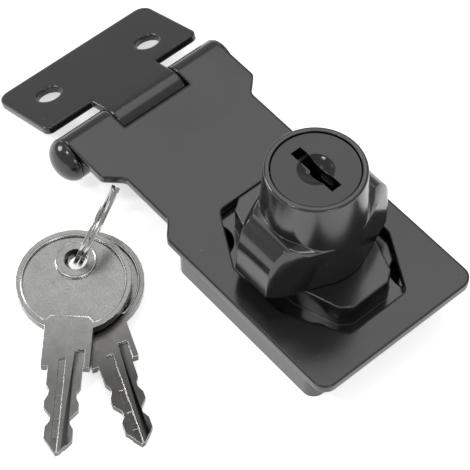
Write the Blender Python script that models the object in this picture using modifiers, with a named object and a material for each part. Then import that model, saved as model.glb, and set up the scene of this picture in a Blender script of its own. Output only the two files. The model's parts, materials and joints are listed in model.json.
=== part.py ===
"""Display case lock: a hinged hasp closed over a turning knob with a wafer lock.

The base housing stands on the floor. The hasp strap lies on it, with the
housing's boss and the knob standing through the strap's slot. The hinge leaf
hangs from the strap's knuckles, and two keys lie beside the lock on a ring.

Metres, +Z up. The origin is on the knob's axis, on the underside of the base.
+X runs along the strap towards its free end, and the hinge is towards -X.
"""

import math

import bmesh
import bpy
from mathutils import Matrix, Vector

# Clearances
GAP = 0.0003
EASE = 0.0002

# Base housing
BASE_HALF_X = 0.0220
BASE_HALF_Y = 0.0190
BASE_HEIGHT = 0.0101
BASE_CORNER = 0.0028
BASE_EDGE = 0.0008
BASE_FLOOR = 0.0020
SCREW_X = 0.0162
SCREW_Y = 0.0133
SCREW_HOLE_RADIUS = 0.0023
SCREW_SINK_RADIUS = 0.0042
SCREW_SINK_DEPTH = 0.0040
SCREW_RIM = 0.0004

# Boss on the housing, which fills the strap's slot
BOSS_HEIGHT = 0.0063
BOSS_HALF_LENGTH = 0.0179
BOSS_END_HALF_WIDTH = 0.0047
BOSS_SHOULDER_X = 0.0161
BOSS_SHOULDER_Y = 0.0072
BOSS_SIDE_X = 0.0062
BOSS_HALF_WIDTH = 0.0106
BOSS_EDGE = 0.00025

# Hasp strap
STRAP_THICKNESS = 0.0020
STRAP_HALF_WIDTH = 0.0210
STRAP_HINGE_FLARE = 0.0005
STRAP_FREE_END = 0.0271
WAIST_DEPTH = 0.0033
WAIST_START = 0.0219
WAIST_END = 0.0432
WAIST_SLOPE = 0.0036
STRAP_CORNER = 0.0030
STRAP_BEND_CORNER = 0.0018
SLOT_HALF_LENGTH = 0.0202
SLOT_END_HALF_WIDTH = 0.0079
SLOT_SHOULDER_X = 0.0070
SLOT_HALF_WIDTH = 0.0152
SLOT_CORNER = 0.0020
SHEET_EDGE = 0.0003

# Hinge
PIN_X = 0.0546
KNUCKLE_RADIUS = 0.0050
PIN_RADIUS = 0.0027
NOTCH_HALF_WIDTH = 0.0093
NOTCH_REACH = 0.0043
PIN_HEAD_RADIUS = 0.0051
PIN_HEAD_HEIGHT = 0.0037
PIN_PEEN_RADIUS = 0.0047
PIN_PEEN_HEIGHT = 0.0014

# Hinge leaf
LEAF_REACH = 0.0278
LEAF_NEAR_EDGE = 0.0067
LEAF_CORNER = 0.0030
LEAF_HOLE_RADIUS = 0.0028
LEAF_HOLES = ((0.0180, -0.01315), (0.0144, 0.0125))

# Knob
KNOB_TOP = 0.0409
KNOB_RIM_RADIUS = 0.01048
KNOB_EDGE = 0.0005
KNOB_TAPER = 0.0545
SPINDLE_RADIUS = 0.0067
SPINDLE_GROOVE_RADIUS = 0.0055
SPINDLE_GROOVE_WIDTH = 0.0026
SPINDLE_GROOVE_Z = 0.0072

# Wings of the knob, with the drops below the knob's top
WING_ANGLE = math.radians(22)
WING_DROP = 0.0109
WING_FACE_DROP = 0.0131
WING_END = 0.0169
WING_END_HALF_WIDTH = 0.0047
WING_ROOT_Y = 0.0095
WING_ROOT_HALF_WIDTH = 0.0061
WING_FACE_END = 0.0143
WING_ROUND_Y = 0.0042
WING_ROUND_Z = 0.0070
WING_FACE_ROUND_Y = 0.0055
WING_FACE_ROUND_Z = 0.0060

# Lock plug and what it carries
PLUG_HEAD_RADIUS = 0.0091
PLUG_HEAD_HEIGHT = 0.0024
PLUG_SINK = 0.0002
PLUG_RADIUS = 0.0065
TAIL_RADIUS = 0.0025
TAIL_LENGTH = 0.0061
DIMPLE_RADIUS = 0.0033
DIMPLE_DEPTH = 0.0008
KEYWAY_HALF_LENGTH = 0.0061
KEYWAY_HALF_WIDTH = 0.00125
KEYWAY_FLOOR = 0.0008
DRIVE_RADIUS = 0.0009
DRIVE_OFFSET = 0.0013
PLUG_GROOVE_DROP = 0.0053
PLUG_GROOVE_RADIUS = 0.0053

# Retaining pins
CROSS_PIN_RADIUS = 0.0010
CROSS_PIN_FAR_END = 0.0090
PLUG_PIN_FAR_END = 0.0047

# Locking bolt
BOLT_LOW = 0.0113
BOLT_HEIGHT = 0.0030
BOLT_HALF_WIDTH = 0.0020
BOLT_TIP = 0.0064
BOLT_TAIL = 0.0048
BOLT_TRAVEL = DRIVE_OFFSET * math.sqrt(2)

# Wafers, with the drop of the first one below the knob's top
WAFER_THICKNESS = 0.0010
WAFER_PITCH = 0.0024
WAFER_DROP = 0.0083
WAFER_LAND = 0.0015
WAFER_HALF_LENGTH = 0.0060
WAFER_HALF_WIDTH = 0.0023
WAFER_WINDOW_HALF_LENGTH = 0.0042
WAFER_WINDOW_HALF_WIDTH = 0.0014
WAFER_TRAVEL = 0.0010

# Washers under the spindle: a flat one, and a wavy one that takes up its play
WASHER_THICKNESS = 0.0008
WASHER_BORE_RADIUS = 0.0025
WAVE_THICKNESS = 0.0003
WAVE_RISE = 0.00025
WAVE_COUNT = 3

# Keys, with distances along the blade from its shoulder
KEY_THICKNESS = 0.0022
BOW_RADIUS = 0.0121
KEY_HOLE_FROM_CENTRE = 0.0050
KEY_HOLE_RADIUS = 0.0025
HOLE_RIM_RADIUS = 0.00445
BOW_RIM = 0.0012
BOW_RECESS = 0.0005
SHANK_TOP_REACH = 0.0084
SHANK_TOP_HALF_WIDTH = 0.0040
SHOULDER_HALF_WIDTH = 0.0050
SHOULDER_LENGTH = 0.0091
BLADE_HALF_WIDTH = 0.0035
BLADE_LENGTH = 0.0190
BITTING = ((0.0042, 0.0), (0.0053, 0.0007), (0.0064, 0.0007), (0.0078, 0.0), (0.0093, 0.0),
           (0.0111, 0.0015), (0.0123, 0.0015), (0.0136, 0.00065), (0.0160, 0.00065))
BLADE_NOSE_HALF_WIDTH = 0.0004
REBATE_INNER = 0.00175
REBATE_DEPTH = 0.0006
REBATE_START = -0.0040
TRACK_OFFSET = 0.00065
TRACK_HALF_WIDTH = 0.0007
TRACK_START = -0.0020
TRACK_DEPTH = 0.00022
TRACK_POCKETS = ((-0.0020, 0.0033), (0.0064, 0.0093), (0.0116, 0.0143), (0.0157, 0.0200))
POCKET_DEPTH = 0.00045

# Key ring, which stands on the floor beside the strap's waist and leans
RING_RADIUS = 0.0094
RING_WIRE_RADIAL = 0.0012
RING_WIRE_WIDTH = 0.0020
RING_SEAM = 0.0002
RING_FROM_PIN = 0.0190
RING_FROM_STRAP = 0.0080
RING_HEADING = math.radians(118.7)
RING_LEAN = math.radians(16.7)
REAR_KEY_HEIGHT = 0.0046
REAR_KEY_HEADING = math.radians(-21.5)
FRONT_KEY_HEADING = math.radians(-43.5)
REAR_KEY_PLAY = Vector((0.0003, 0.00025, 0))
FRONT_KEY_PLAY = Vector((-0.0004, -0.00035, 0))

# Smoothness of round shapes
STEPS_LARGE = 48
STEPS_SMALL = 24
ARC_STEP = math.radians(11.25)
SMOOTH_ANGLE = math.radians(30)

# Sizes that follow from the ones above
STRAP_LOW = BASE_HEIGHT + GAP
STRAP_TOP = STRAP_LOW + STRAP_THICKNESS
PIN_Z = STRAP_TOP - KNUCKLE_RADIUS
KNUCKLE_BORE = KNUCKLE_RADIUS - STRAP_THICKNESS
TAB_HALF_WIDTH = NOTCH_HALF_WIDTH - GAP
HINGE_HALF_WIDTH = STRAP_HALF_WIDTH + STRAP_HINGE_FLARE
STRAP_WAIST_HALF_WIDTH = STRAP_HALF_WIDTH - WAIST_DEPTH
BOSS_TOP = BASE_HEIGHT + BOSS_HEIGHT
KNOB_LOW = BOSS_TOP + GAP
BOSS_BORE_RADIUS = SPINDLE_RADIUS + GAP
WASHER_TOP = BASE_FLOOR + GAP + WASHER_THICKNESS
WAVE_Z = WASHER_TOP + GAP + WAVE_RISE + WAVE_THICKNESS / 2
SPINDLE_END = WAVE_Z + WAVE_THICKNESS / 2 + WAVE_RISE + GAP
WING_TOP = KNOB_TOP - WING_DROP
WING_FACE_TOP = KNOB_TOP - WING_FACE_DROP
PLUG_TOP = KNOB_TOP - PLUG_SINK
PLUG_HEAD_LOW = PLUG_TOP - PLUG_HEAD_HEIGHT
PLUG_BORE_RADIUS = PLUG_RADIUS + GAP
PLUG_GROOVE_Z = KNOB_TOP - PLUG_GROOVE_DROP
TAIL_HOLE_RADIUS = DRIVE_OFFSET + DRIVE_RADIUS + 2 * GAP
BOLT_TOP = BOLT_LOW + BOLT_HEIGHT
TAIL_END = BOLT_TOP + 2 * GAP
PLUG_BOTTOM = TAIL_END + TAIL_LENGTH
DRIVE_END = BOLT_LOW + EASE
CROSS_PIN_X = SPINDLE_GROOVE_RADIUS + GAP + CROSS_PIN_RADIUS
PLUG_PIN_X = PLUG_GROOVE_RADIUS + GAP + CROSS_PIN_RADIUS
WAFER_TOP_Z = KNOB_TOP - WAFER_DROP
WAFER_COUNT = int((WAFER_TOP_Z - PLUG_BOTTOM - WAFER_LAND) / WAFER_PITCH) + 1
BLADE_SLOT_HALF_LENGTH = BLADE_HALF_WIDTH + 2 * GAP
RING_CENTRE_X = RING_FROM_PIN - PIN_X
RING_CENTRE_Y = -STRAP_HALF_WIDTH - RING_FROM_STRAP

PART_COLLECTION = "display_case_lock"
CUTTER_COLLECTION = "cutters"

COATED = ((0.012, 0.012, 0.013), 0.32, 0.55)
DIE_CAST = ((0.020, 0.020, 0.022), 0.36, 0.50)
BRIGHT_STEEL = ((0.55, 0.56, 0.58), 0.28, 1.0)
NICKEL = ((0.62, 0.60, 0.56), 0.25, 1.0)
BRASS = ((0.60, 0.45, 0.20), 0.30, 1.0)
DARK_CHROME = ((0.08, 0.08, 0.085), 0.16, 1.0)


def clear_scene():
    """Remove whatever the scene holds, and make the two collections."""
    for item in list(bpy.data.objects):
        bpy.data.objects.remove(item, do_unlink=True)
    for name in (PART_COLLECTION, CUTTER_COLLECTION):
        collection = bpy.data.collections.get(name) or bpy.data.collections.new(name)
        if name not in bpy.context.scene.collection.children:
            bpy.context.scene.collection.children.link(collection)


def place_in(item, collection_name):
    """Move an object into one of the two collections."""
    for collection in list(item.users_collection):
        collection.objects.unlink(item)
    bpy.data.collections[collection_name].objects.link(item)
    return item


def as_part(item, name, look):
    """Name a finished sub-part, give it its material and smooth its curves."""
    colour, roughness, metallic = look
    material = bpy.data.materials.new(name + "_material")
    material.use_nodes = True
    shader = material.node_tree.nodes["Principled BSDF"]
    shader.inputs["Base Color"].default_value = (*colour, 1)
    shader.inputs["Roughness"].default_value = roughness
    shader.inputs["Metallic"].default_value = metallic
    item.name = name
    item.data.name = name
    item.data.materials.clear()
    item.data.materials.append(material)
    item.data.shade_smooth()
    item.data.set_sharp_from_angle(angle=SMOOTH_ANGLE)
    return place_in(item, PART_COLLECTION)


def as_cutter(item):
    """Keep a shape as a tool that cuts or joins, hidden from the render."""
    item.hide_render = True
    item.display_type = "WIRE"
    return place_in(item, CUTTER_COLLECTION)


def combine(item, tool, operation):
    """Cut, join or intersect an object with a tool shape."""
    as_cutter(tool)
    modifier = item.modifiers.new(operation.title() + " " + tool.name, "BOOLEAN")
    modifier.operation = operation
    modifier.solver = "EXACT"
    modifier.object = tool
    return item


def round_edges(item, width, segments, angle=math.radians(50)):
    """Round every edge that is sharper than the angle."""
    modifier = item.modifiers.new("Rounded edges", "BEVEL")
    modifier.width = width
    modifier.segments = segments
    modifier.limit_method = "ANGLE"
    modifier.angle_limit = angle
    modifier.miter_outer = "MITER_ARC" if segments > 1 else "MITER_SHARP"
    return item


def pivot(name, location, rotation=(0, 0, 0)):
    """An empty on a joint's axis, which carries the pieces that move there."""
    empty = bpy.data.objects.new(name, None)
    empty.location = location
    empty.rotation_euler = rotation
    empty.empty_display_size = 0.01
    bpy.data.collections[PART_COLLECTION].objects.link(empty)
    bpy.context.view_layer.update()
    return empty


def hang(parent, *items, local=False):
    """Parent objects to a pivot, in its own coordinates or where they stand."""
    for item in items:
        item.parent = parent
        if not local:
            item.matrix_parent_inverse = parent.matrix_world.inverted()


def arc(centre, radius, start, end):
    """Points along an arc, from one angle to another, ends included."""
    radius_x, radius_y = radius if isinstance(radius, tuple) else (radius, radius)
    steps = max(2, round(abs(end - start) / ARC_STEP))
    angles = [start + (end - start) * i / steps for i in range(steps + 1)]
    return [(centre[0] + radius_x * math.cos(a), centre[1] + radius_y * math.sin(a)) for a in angles]


def rounded(corners):
    """An outline with round corners, from (x, y, radius) in order."""
    points = []
    for index, (x, y, radius) in enumerate(corners):
        if radius <= 0:
            points.append((x, y))
            continue
        here = Vector((x, y))
        before = (Vector(corners[index - 1][:2]) - here).normalized()
        after = (Vector(corners[(index + 1) % len(corners)][:2]) - here).normalized()
        half = before.angle(after) / 2
        start = here + before * radius / math.tan(half)
        centre = here + (before + after).normalized() * radius / math.sin(half)
        end = here + after * radius / math.tan(half)
        first = math.atan2(start.y - centre.y, start.x - centre.x)
        turn = math.atan2(end.y - centre.y, end.x - centre.x) - first
        turn = (turn + math.pi) % (2 * math.pi) - math.pi
        points += arc(centre, radius, first, first + turn)
    return points


def mirrored_y(corners):
    """Close a half outline, given from +X round to -X at +Y, over the X axis."""
    return corners + [(x, -y, *rest) for x, y, *rest in reversed(corners)]


def circle(centre, radius, steps):
    """Points round a circle, with none of them on the X axis."""
    angles = [2 * math.pi * (i + 0.5) / steps for i in range(steps)]
    return [(centre[0] + radius * math.cos(a), centre[1] + radius * math.sin(a)) for a in angles]


def outline_solid(name, loops, low, high, upright=False):
    """A flat outline with its holes, made solid from one level to another.

    An upright outline is drawn in X and Z, and its levels are along Y.
    """
    curve = bpy.data.curves.new(name, "CURVE")
    curve.dimensions = "2D"
    curve.fill_mode = "BOTH"
    curve.extrude = (high - low) / 2
    for loop in loops:
        spline = curve.splines.new("POLY")
        spline.points.add(len(loop) - 1)
        for point, (x, y) in zip(spline.points, loop):
            point.co = (x, y, 0, 1)
        spline.use_cyclic_u = True
    drawn = bpy.data.objects.new(name + "_outline", curve)
    bpy.context.scene.collection.objects.link(drawn)
    middle = (low + high) / 2
    drawn.location = (0, middle, 0) if upright else (0, 0, middle)
    drawn.rotation_euler = (math.pi / 2, 0, 0) if upright else (0, 0, 0)
    return made_mesh(drawn, name)


def made_mesh(drawn, name):
    """Turn a curve object into a closed mesh object and remove the curve."""
    bpy.context.view_layer.update()
    evaluated = drawn.evaluated_get(bpy.context.evaluated_depsgraph_get())
    mesh = bpy.data.meshes.new_from_object(evaluated)
    shape = bmesh.new()
    shape.from_mesh(mesh)
    bmesh.ops.remove_doubles(shape, verts=shape.verts, dist=1e-6)
    bmesh.ops.recalc_face_normals(shape, faces=shape.faces)
    shape.to_mesh(mesh)
    shape.free()
    solid = bpy.data.objects.new(name, mesh)
    bpy.context.scene.collection.objects.link(solid)
    solid.matrix_world = drawn.matrix_world
    bpy.data.objects.remove(drawn, do_unlink=True)
    return solid


def turned(name, profile, steps):
    """A turned shape, from a profile of (radius, z) down its outer side.

    A profile that doesn't start on the axis is closed into a ring.
    """
    mesh = bpy.data.meshes.new(name)
    edges = [(i, i + 1) for i in range(len(profile) - 1)]
    if profile[0][0] > 0:
        edges.append((len(profile) - 1, 0))
    mesh.from_pydata([(radius, 0, z) for radius, z in profile], edges, [])
    item = bpy.data.objects.new(name, mesh)
    bpy.context.scene.collection.objects.link(item)
    screw = item.modifiers.new("Turned", "SCREW")
    screw.steps = steps
    screw.render_steps = steps
    screw.use_merge_vertices = True
    screw.merge_threshold = 0.000001
    screw.use_smooth_shade = True
    return item


def cylinder(name, radius, start, end, steps=STEPS_SMALL):
    """A round bar from one point to another."""
    start, end = Vector(start), Vector(end)
    bpy.ops.mesh.primitive_cylinder_add(vertices=steps, radius=radius, depth=(end - start).length)
    item = bpy.context.object
    item.name = name
    item.location = (start + end) / 2
    item.rotation_euler = (end - start).to_track_quat("Z", "Y").to_euler()
    return item


def block(name, low, high):
    """A box between two opposite corners."""
    bpy.ops.mesh.primitive_cube_add(size=1)
    item = bpy.context.object
    item.name = name
    size = [b - a for a, b in zip(low, high)]
    item.data.transform(Matrix.Diagonal((*size, 1)))
    item.location = [(a + b) / 2 for a, b in zip(low, high)]
    return item


def hull(name, points):
    """The convex body around a set of points."""
    shape = bmesh.new()
    for point in points:
        shape.verts.new(point)
    made = bmesh.ops.convex_hull(shape, input=shape.verts)
    loose = [v for v in made["geom_interior"] + made["geom_unused"] if isinstance(v, bmesh.types.BMVert)]
    bmesh.ops.delete(shape, geom=list(set(loose)), context="VERTS")
    bmesh.ops.recalc_face_normals(shape, faces=shape.faces)
    mesh = bpy.data.meshes.new(name)
    shape.to_mesh(mesh)
    shape.free()
    item = bpy.data.objects.new(name, mesh)
    bpy.context.scene.collection.objects.link(item)
    return item


def base_housing():
    """The die-cast base: a rounded block with the boss and the knob's bore."""
    corner = (BASE_HALF_X, BASE_HALF_Y, BASE_CORNER)
    plan = rounded(mirrored_y([corner, (-corner[0], corner[1], corner[2])]))
    base = outline_solid("base_block", [plan], -BASE_EDGE * 2, BASE_HEIGHT)
    round_edges(base, BASE_EDGE, 3)
    deep = BASE_EDGE * 4
    combine(base, block("base_trim", (-BASE_HALF_X * 2, -BASE_HALF_Y * 2, -deep),
                        (BASE_HALF_X * 2, BASE_HALF_Y * 2, 0)), "DIFFERENCE")

    half = [(BOSS_HALF_LENGTH, BOSS_END_HALF_WIDTH), (BOSS_SHOULDER_X, BOSS_SHOULDER_Y),
            (BOSS_SIDE_X, BOSS_HALF_WIDTH)]
    half += [(-x, y) for x, y in reversed(half)]
    boss = outline_solid("base_boss", [mirrored_y(half)], BASE_HEIGHT - BASE_EDGE * 2, BOSS_TOP)
    round_edges(boss, BOSS_EDGE, 1)
    combine(base, boss, "UNION")

    combine(base, cylinder("knob_bore", BOSS_BORE_RADIUS, (0, 0, BASE_FLOOR),
                           (0, 0, BOSS_TOP + deep), STEPS_LARGE), "DIFFERENCE")
    reach = BOSS_BORE_RADIUS + BOLT_TRAVEL
    wide = BOLT_HALF_WIDTH + 2 * GAP
    low, high = BOLT_LOW - 2 * GAP, BOLT_TOP + 2 * GAP
    inside = BOSS_BORE_RADIUS - BOLT_TRAVEL
    combine(base, block("bolt_notch_closed", (inside, -wide, low), (reach, wide, high)), "DIFFERENCE")
    combine(base, block("bolt_notch_open", (-wide, inside, low), (wide, reach, high)), "DIFFERENCE")
    for side, x in (("left", -CROSS_PIN_X), ("right", CROSS_PIN_X)):
        combine(base, cylinder("cross_hole_" + side, CROSS_PIN_RADIUS + GAP,
                               (x, -CROSS_PIN_FAR_END - GAP, SPINDLE_GROOVE_Z),
                               (x, BASE_HALF_Y + deep, SPINDLE_GROOVE_Z), STEPS_SMALL), "DIFFERENCE")
    floor = BASE_HEIGHT - SCREW_SINK_DEPTH
    for index, (sx, sy) in enumerate(((1, 1), (1, -1), (-1, 1), (-1, -1))):
        profile = [(0, BASE_HEIGHT + deep), (SCREW_SINK_RADIUS + SCREW_RIM, BASE_HEIGHT + deep),
                   (SCREW_SINK_RADIUS + SCREW_RIM, BASE_HEIGHT),
                   (SCREW_SINK_RADIUS, BASE_HEIGHT - SCREW_RIM), (SCREW_SINK_RADIUS, floor),
                   (SCREW_HOLE_RADIUS, floor), (SCREW_HOLE_RADIUS, -deep), (0, -deep)]
        hole = turned("screw_hole_%d" % (index + 1), profile, STEPS_SMALL)
        hole.location = (sx * SCREW_X, sy * SCREW_Y, 0)
        combine(base, hole, "DIFFERENCE")
    return as_part(base, "base_housing", DIE_CAST)


def rolled_profile(reach, side):
    """A sheet seen from its edge, rolled into a knuckle about the pin.

    Points are (x, z) from the pin's axis. The sheet's top is tangent to the
    knuckle, and side is +1 where the sheet runs towards +X.
    """
    top, bore = KNUCKLE_RADIUS, KNUCKLE_BORE
    seam = math.asin((bore - GAP * 1.5) / top) + 2 * math.pi
    points = [(reach, top)] + arc((0, 0), top, math.pi / 2, seam)
    points += arc((0, 0), bore, seam, math.pi / 2) + [(reach, bore)]
    return [(side * x, z) for x, z in points]


def hasp_strap():
    """The strap: a sheet with a waist and a slot, and two rolled knuckles."""
    profile = [(x - PIN_X, z + PIN_Z) for x, z in rolled_profile(PIN_X + STRAP_FREE_END * 2, 1)]
    strap = outline_solid("strap_sheet", [profile], -STRAP_HALF_WIDTH * 2, STRAP_HALF_WIDTH * 2, upright=True)
    notch_x = NOTCH_REACH - PIN_X
    far = -PIN_X - KNUCKLE_RADIUS * 2
    bend = STRAP_BEND_CORNER
    half = [(STRAP_FREE_END, STRAP_HALF_WIDTH, STRAP_CORNER),
            (-WAIST_START, STRAP_HALF_WIDTH, bend),
            (-WAIST_START - WAIST_SLOPE, STRAP_WAIST_HALF_WIDTH, bend),
            (-WAIST_END + WAIST_SLOPE, STRAP_WAIST_HALF_WIDTH, bend),
            (-WAIST_END, HINGE_HALF_WIDTH, bend),
            (far, HINGE_HALF_WIDTH, 0),
            (far, NOTCH_HALF_WIDTH, 0),
            (notch_x, NOTCH_HALF_WIDTH, 0)]
    slot_half = [(SLOT_HALF_LENGTH, SLOT_END_HALF_WIDTH, SLOT_CORNER),
                 (SLOT_SHOULDER_X, SLOT_HALF_WIDTH, SLOT_CORNER)]
    slot_half += [(-x, y, radius) for x, y, radius in reversed(slot_half)]
    loops = [rounded(mirrored_y(half)), rounded(mirrored_y(slot_half))[::-1]]
    plan = outline_solid("strap_plan", loops, PIN_Z - KNUCKLE_RADIUS * 2, STRAP_TOP + KNUCKLE_RADIUS)
    combine(strap, plan, "INTERSECT")
    combine(strap, block("strap_notch", (far, -NOTCH_HALF_WIDTH, PIN_Z - KNUCKLE_RADIUS * 2),
                         (KNUCKLE_RADIUS * 2 - PIN_X, NOTCH_HALF_WIDTH, STRAP_LOW - GAP)), "DIFFERENCE")
    round_edges(strap, SHEET_EDGE, 1)
    return as_part(strap, "hasp_strap", COATED)


def hinge_leaf():
    """The leaf: a plate with two screw holes on a tab that is rolled round the pin.

    It hangs from the pin until its far lower edge meets the floor.
    """
    drop = PIN_Z - EASE / 4
    droop = math.asin(drop / math.hypot(LEAF_REACH, KNUCKLE_BORE)) + math.atan2(KNUCKLE_BORE, LEAF_REACH)
    axis = pivot("leaf_hinge_axis", (-PIN_X, 0, PIN_Z), (0, -droop, 0))
    leaf = outline_solid("leaf_sheet", [rolled_profile(LEAF_REACH * 2, -1)],
                         -STRAP_HALF_WIDTH * 2, STRAP_HALF_WIDTH * 2, upright=True)
    half = [(KNUCKLE_RADIUS * 2, TAB_HALF_WIDTH, 0),
            (-LEAF_NEAR_EDGE, TAB_HALF_WIDTH, 0),
            (-LEAF_NEAR_EDGE, HINGE_HALF_WIDTH, STRAP_BEND_CORNER),
            (-LEAF_REACH, HINGE_HALF_WIDTH, LEAF_CORNER)]
    holes = [circle((-x, y), LEAF_HOLE_RADIUS, STEPS_SMALL)[::-1] for x, y in LEAF_HOLES]
    plan = outline_solid("leaf_plan", [rounded(mirrored_y(half))] + holes,
                         -KNUCKLE_RADIUS * 2, KNUCKLE_RADIUS * 2)
    combine(leaf, plan, "INTERSECT")
    round_edges(leaf, SHEET_EDGE, 1)
    hang(axis, leaf, plan, local=True)
    return as_part(leaf, "hinge_leaf", COATED)


def hinge_pin():
    """The pin through the knuckles, with a domed head and a low peened end."""
    head_low = HINGE_HALF_WIDTH + GAP
    dome = arc((0, head_low), (PIN_HEAD_RADIUS, PIN_HEAD_HEIGHT), math.pi / 2, 0)
    peen = arc((0, -head_low), (PIN_PEEN_RADIUS, PIN_PEEN_HEIGHT), 0, -math.pi / 2)
    profile = dome + [(PIN_RADIUS, head_low), (PIN_RADIUS, -head_low)] + peen
    profile[0] = (0, profile[0][1])
    profile[-1] = (0, profile[-1][1])
    pin = turned("hinge_pin", profile, STEPS_SMALL)
    pin.location = (-PIN_X, 0, PIN_Z)
    pin.rotation_euler = (math.pi / 2, 0, 0)
    return as_part(pin, "hinge_pin", COATED)


def knob_radius(z):
    """Radius of the knob's tapered side at a height."""
    return KNOB_RIM_RADIUS + KNOB_TAPER * (KNOB_TOP - z)


def wing(name, side):
    """One wing of the knob: two flat faces, a rounded ridge and a band between."""

    def face_x(y, z):
        return (knob_radius(z) - EASE / 4 - y * math.sin(WING_ANGLE)) / math.cos(WING_ANGLE)

    def ridge_x(y):
        slope = (WING_ROOT_HALF_WIDTH - WING_END_HALF_WIDTH) / (WING_END - WING_ROOT_Y)
        return WING_ROOT_HALF_WIDTH - slope * (y - WING_ROOT_Y)

    start = SPINDLE_RADIUS / 2
    ridge_round = min(WING_ROUND_Z, WING_TOP - KNOB_LOW)
    face_round = min(WING_FACE_ROUND_Z, WING_FACE_TOP - KNOB_LOW)
    ridge = [(start, WING_TOP)]
    ridge += reversed(arc((WING_END - WING_ROUND_Y, WING_TOP - ridge_round),
                          (WING_ROUND_Y, ridge_round), 0, math.pi / 2))
    ridge += [(WING_END, KNOB_LOW), (start, KNOB_LOW)]
    tangent = KNOB_RIM_RADIUS * math.sin(WING_ANGLE)
    face = [(tangent, WING_FACE_TOP)]
    face += reversed(arc((WING_FACE_END - WING_FACE_ROUND_Y, WING_FACE_TOP - face_round),
                         (WING_FACE_ROUND_Y, face_round), 0, math.pi / 2))
    face += [(WING_FACE_END, KNOB_LOW), (tangent, KNOB_LOW)]
    points = []
    for sign in (-1, 1):
        points += [(sign * ridge_x(y), side * y, z) for y, z in ridge]
        points += [(sign * face_x(y, z), side * y, z) for y, z in face]
    return hull(name, points)


def knob_body():
    """The knob: a tapered barrel with two wings, a bore and a spindle."""
    edge = arc((KNOB_RIM_RADIUS - KNOB_EDGE, KNOB_TOP - KNOB_EDGE), KNOB_EDGE, math.pi / 2, 0)
    head_radius = PLUG_HEAD_RADIUS + EASE
    tail_floor = BOLT_LOW - 2 * GAP
    groove = SPINDLE_GROOVE_WIDTH / 2
    seat = PLUG_HEAD_LOW - GAP
    profile = [(0, tail_floor), (TAIL_HOLE_RADIUS, tail_floor), (TAIL_HOLE_RADIUS, PLUG_BOTTOM - GAP),
               (PLUG_BORE_RADIUS, PLUG_BOTTOM - GAP), (PLUG_BORE_RADIUS, seat),
               (head_radius, seat), (head_radius, KNOB_TOP)] + edge
    profile += [(knob_radius(KNOB_LOW), KNOB_LOW), (SPINDLE_RADIUS, KNOB_LOW),
                (SPINDLE_RADIUS, SPINDLE_GROOVE_Z + groove),
                (SPINDLE_GROOVE_RADIUS, SPINDLE_GROOVE_Z + groove),
                (SPINDLE_GROOVE_RADIUS, SPINDLE_GROOVE_Z - groove),
                (SPINDLE_RADIUS, SPINDLE_GROOVE_Z - groove),
                (SPINDLE_RADIUS, SPINDLE_END), (0, SPINDLE_END)]
    knob = turned("knob_turned", profile, STEPS_LARGE)
    wings = [wing("wing_left", 1), wing("wing_right", -1)]
    core = cylinder("wing_core", PLUG_BORE_RADIUS + KNOB_EDGE, (0, 0, 0), (0, 0, KNOB_TOP), STEPS_LARGE)
    for tool in wings:
        combine(tool, core, "DIFFERENCE")
        combine(knob, tool, "UNION")
    wide = BOLT_HALF_WIDTH + GAP
    cutters = [block("bolt_slot", (-BOLT_TAIL - GAP, -wide, BOLT_LOW - GAP),
                     (SPINDLE_RADIUS * 2, wide, BOLT_TOP + GAP))]
    reach = PLUG_BORE_RADIUS + WAFER_TRAVEL + GAP
    across = WAFER_HALF_WIDTH + 2 * GAP
    low = wafer_height(WAFER_COUNT - 1) - WAFER_THICKNESS
    high = wafer_height(0) + WAFER_THICKNESS
    inside = PLUG_BORE_RADIUS - WAFER_TRAVEL
    cutters.append(block("wafer_groove_home", (inside, -across, low), (reach, across, high)))
    cutters.append(block("wafer_groove_turned", (-across, inside, low), (across, reach, high)))
    cutters.append(cylinder("plug_pin_hole", CROSS_PIN_RADIUS + GAP,
                            (-PLUG_PIN_X, -PLUG_PIN_FAR_END - GAP, PLUG_GROOVE_Z),
                            (-PLUG_PIN_X, KNOB_RIM_RADIUS * 2, PLUG_GROOVE_Z), STEPS_SMALL))
    for tool in cutters:
        combine(knob, tool, "DIFFERENCE")
    hang(bpy.data.objects["knob_axis"], knob, core, *wings, *cutters)
    return as_part(knob, "knob_body", DIE_CAST)


def wafer_height(index):
    """Height of a wafer's middle, counted from the face of the plug."""
    return WAFER_TOP_Z - index * WAFER_PITCH


def warded_slot():
    """The slot for the key's blade seen from above, with a ward for each rebate."""
    length, width = BLADE_SLOT_HALF_LENGTH, KEYWAY_HALF_WIDTH
    inner = width - REBATE_DEPTH
    ward = REBATE_INNER + GAP
    half = [(length, inner), (ward, inner), (ward, width), (-length, width)]
    return half + [(-x, -y) for x, y in half]


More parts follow.
